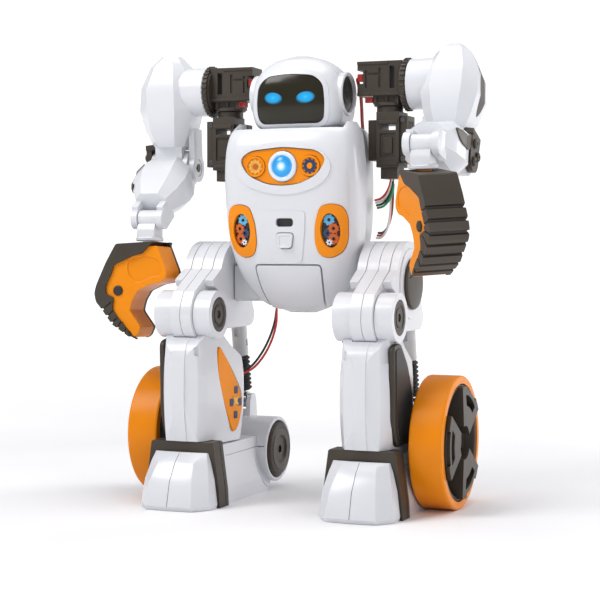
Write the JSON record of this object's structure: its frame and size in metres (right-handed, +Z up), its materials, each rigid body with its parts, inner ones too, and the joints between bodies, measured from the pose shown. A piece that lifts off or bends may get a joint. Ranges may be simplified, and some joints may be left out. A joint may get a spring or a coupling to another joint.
{
  "type": "humanoid robot",
  "caption": "Toy robot figure with a turning head, posable arms with claw hands, and hinged legs on feet with side wheels and heel shock absorbers.",
  "frame": {"origin": "on the floor, under the middle of the robot's bounding box", "axes": "+Z up, the robot faces -Y, and its own left side is +X"},
  "size_m": [0.235, 0.1308, 0.2614],
  "materials": {
    "white_plastic": "glossy moulded ABS, cool white",
    "grey_plastic": "satin moulded ABS, light grey",
    "dark_plastic": "fine-textured brown-grey plastic",
    "orange_plastic": "satin moulded ABS, orange",
    "orange_tyre": "smooth soft orange rubber",
    "dark_visor": "mirror-smooth tinted polycarbonate",
    "blue_lamp": "translucent lens, lit cyan-blue",
    "black_rubber": "matte moulded rubber",
    "steel": "drawn bright steel",
    "circuit_board": "solder-masked fibreglass",
    "cell_wrap": "plastic-wrapped cells in a tray",
    "wire_sleeve": "PVC wire insulation"
  },
  "bodies": {
    "torso": {"torso_front_shell": "white_plastic", "torso_back_shell": "grey_plastic", "belly_hatch": "white_plastic", "chest_trim": "orange_plastic", "chest_lamp": "blue_lamp", "side_pod_left": "orange_plastic", "side_pod_right": "orange_plastic", "battery_door": "grey_plastic", "battery_pack": "cell_wrap", "main_board": "circuit_board", "neck_collar": "grey_plastic", "shoulder_column_left": "dark_plastic", "shoulder_column_right": "dark_plastic", "leg_lead_left": "wire_sleeve", "leg_lead_right": "wire_sleeve", "arm_lead_left": "wire_sleeve", "arm_lead_right": "wire_sleeve"},
    "head": {"head_shell": "white_plastic", "face_visor": "dark_visor"},
    "chest_button_left": {"chest_button_left": "orange_plastic"},
    "chest_button_right": {"chest_button_right": "orange_plastic"},
    "power_button": {"power_button": "white_plastic"},
    "shoulder_left": {"shoulder_motor_left": "dark_plastic"},
    "upper_arm_left": {"upper_arm_left": "white_plastic", "elbow_link_left": "dark_plastic"},
    "forearm_left": {"forearm_left": "white_plastic"},
    "wrist_left": {"wrist_link_left": "dark_plastic"},
    "hand_left": {"hand_core_left": "orange_plastic", "hand_cover_left": "dark_plastic"},
    "thigh_left": {"thigh_left": "white_plastic", "hip_cap_left": "dark_plastic"},
    "lower_leg_left": {"shin_left": "white_plastic", "foot_left": "white_plastic", "toe_bumper_left": "dark_plastic", "toe_cap_left": "white_plastic", "drum_cap_left": "dark_plastic"},
    "wheel_left": {"wheel_hub_left": "dark_plastic", "tyre_left": "orange_tyre"},
    "shock_lower_left": {"shock_rod_left": "steel", "shock_bellows_left": "black_rubber"},
    "shock_upper_left": {"shock_sleeve_left": "grey_plastic"},
    "shoulder_right": {"shoulder_motor_right": "dark_plastic"},
    "upper_arm_right": {"upper_arm_right": "white_plastic", "elbow_link_right": "dark_plastic"},
    "forearm_right": {"forearm_right": "white_plastic"},
    "wrist_right": {"wrist_link_right": "dark_plastic"},
    "hand_right": {"hand_core_right": "orange_plastic", "hand_cover_right": "dark_plastic"},
    "thigh_right": {"thigh_right": "white_plastic", "hip_cap_right": "dark_plastic"},
    "lower_leg_right": {"shin_right": "white_plastic", "foot_right": "white_plastic", "toe_bumper_right": "dark_plastic", "toe_cap_right": "white_plastic", "drum_cap_right": "dark_plastic"},
    "wheel_right": {"wheel_hub_right": "dark_plastic", "tyre_right": "orange_tyre"},
    "shock_lower_right": {"shock_rod_right": "steel", "shock_bellows_right": "black_rubber"},
    "shock_upper_right": {"shock_sleeve_right": "grey_plastic"}
  },
  "joints": [
    {"name": "head_pan", "type": "hinge", "parent": "torso", "child": "head", "pos_m": [-0.00053, 0.01292, 0.21], "axis": [0, 0, 1], "range_deg": [-60, 60]},
    {"name": "chest_button_left_press", "type": "slide", "parent": "torso", "child": "chest_button_left", "axis": [0, 1, 0], "range_m": [0, 0.001], "stiffness_N_per_m": 400},
    {"name": "chest_button_right_press", "type": "slide", "parent": "torso", "child": "chest_button_right", "axis": [0, 1, 0], "range_m": [0, 0.001], "stiffness_N_per_m": 400},
    {"name": "power_button_press", "type": "slide", "parent": "torso", "child": "power_button", "axis": [0, 1, 0], "range_m": [0, 0.001], "stiffness_N_per_m": 400},
    {"name": "shoulder_yaw_left", "type": "hinge", "parent": "torso", "child": "shoulder_left", "pos_m": [0.04947, 0.02192, 0.2266], "axis": [0, 0, 1], "range_deg": [-5, 19]},
    {"name": "shoulder_pitch_left", "type": "hinge", "parent": "shoulder_left", "child": "upper_arm_left", "pos_m": [0.06237, 0.02214, 0.239], "axis": [0.9998, 0.0175, 0], "range_deg": [-59, 31]},
    {"name": "elbow_left", "type": "hinge", "parent": "upper_arm_left", "child": "forearm_left", "pos_m": [0.08791, 0.00833, 0.19627], "axis": [0.9998, 0.0175, 0], "range_deg": [-3, 31]},
    {"name": "wrist_tilt_left", "type": "hinge", "parent": "forearm_left", "child": "wrist_left", "pos_m": [0.08875, -0.03966, 0.20136], "axis": [0.9998, 0.0175, 0], "range_deg": [-97, 1]},
    {"name": "hand_turn_left", "type": "hinge", "parent": "wrist_left", "child": "hand_left", "pos_m": [0.08873, -0.03812, 0.18373], "axis": [0.0015, -0.0871, 0.9962], "range_deg": [-42, 68]},
    {"name": "hip_left", "type": "hinge", "parent": "torso", "child": "thigh_left", "pos_m": [0.05347, 0.01292, 0.126], "axis": [1, 0, 0], "range_deg": [-10, 15], "deforming": ["leg_lead_left"]},
    {"name": "knee_left", "type": "hinge", "parent": "thigh_left", "child": "lower_leg_left", "pos_m": [0.05347, -0.02308, 0.1085], "axis": [1, 0, 0], "range_deg": [-6, 6], "deforming": ["shock_bellows_left"]},
    {"name": "shock_top_left", "type": "hinge", "parent": "thigh_left", "child": "shock_upper_left", "pos_m": [0.05347, 0.04092, 0.106], "axis": [1, 0, 0], "range_deg": [-9, 9]},
    {"name": "shock_foot_left", "type": "hinge", "parent": "lower_leg_left", "child": "shock_lower_left", "pos_m": [0.05347, 0.04992, 0.053], "axis": [1, 0, 0], "range_deg": [-3, 3]},
    {"name": "wheel_spin_left", "type": "hinge", "parent": "lower_leg_left", "child": "wheel_left", "pos_m": [0.08447, 0.01292, 0.0375], "axis": [1, 0, 0], "continuous": true},
    {"name": "shoulder_yaw_right", "type": "hinge", "parent": "torso", "child": "shoulder_right", "pos_m": [-0.05053, 0.02192, 0.2266], "axis": [0, 0, 1], "range_deg": [-23, 1]},
    {"name": "shoulder_pitch_right", "type": "hinge", "parent": "shoulder_right", "child": "upper_arm_right", "pos_m": [-0.06341, 0.02124, 0.239], "axis": [0.9986, 0.0523, 0], "range_deg": [-84, 6]},
    {"name": "elbow_right", "type": "hinge", "parent": "upper_arm_right", "child": "forearm_right", "pos_m": [-0.08894, 0.02504, 0.19425], "axis": [0.9986, 0.0523, 0], "range_deg": [-24, 10]},
    {"name": "wrist_tilt_right", "type": "hinge", "parent": "forearm_right", "child": "wrist_right", "pos_m": [-0.08701, -0.0119, 0.16326], "axis": [0.9986, 0.0523, 0], "range_deg": [-44, 54]},
    {"name": "hand_turn_right", "type": "hinge", "parent": "wrist_right", "child": "hand_right", "pos_m": [-0.08697, -0.01252, 0.14557], "axis": [-0.0018, 0.0349, 0.9994], "range_deg": [-20, 90]},
    {"name": "hip_right", "type": "hinge", "parent": "torso", "child": "thigh_right", "pos_m": [-0.05453, 0.01292, 0.126], "axis": [1, 0, 0], "range_deg": [-10, 15], "deforming": ["leg_lead_right"]},
    {"name": "knee_right", "type": "hinge", "parent": "thigh_right", "child": "lower_leg_right", "pos_m": [-0.05453, -0.02308, 0.1085], "axis": [1, 0, 0], "range_deg": [-6, 6], "deforming": ["shock_bellows_right"]},
    {"name": "shock_top_right", "type": "hinge", "parent": "thigh_right", "child": "shock_upper_right", "pos_m": [-0.05453, 0.04092, 0.106], "axis": [1, 0, 0], "range_deg": [-9, 9]},
    {"name": "shock_foot_right", "type": "hinge", "parent": "lower_leg_right", "child": "shock_lower_right", "pos_m": [-0.05453, 0.04992, 0.053], "axis": [1, 0, 0], "range_deg": [-3, 3]},
    {"name": "wheel_spin_right", "type": "hinge", "parent": "lower_leg_right", "child": "wheel_right", "pos_m": [-0.08553, 0.01292, 0.0375], "axis": [1, 0, 0], "continuous": true}
  ],
  "couplings": [
    {"joint": "shock_top_left", "follows": "knee_left", "ratio": 1.25},
    {"joint": "shock_foot_left", "follows": "knee_left", "ratio": 0.25},
    {"joint": "shock_top_right", "follows": "knee_right", "ratio": 1.25},
    {"joint": "shock_foot_right", "follows": "knee_right", "ratio": 0.25}
  ]
}
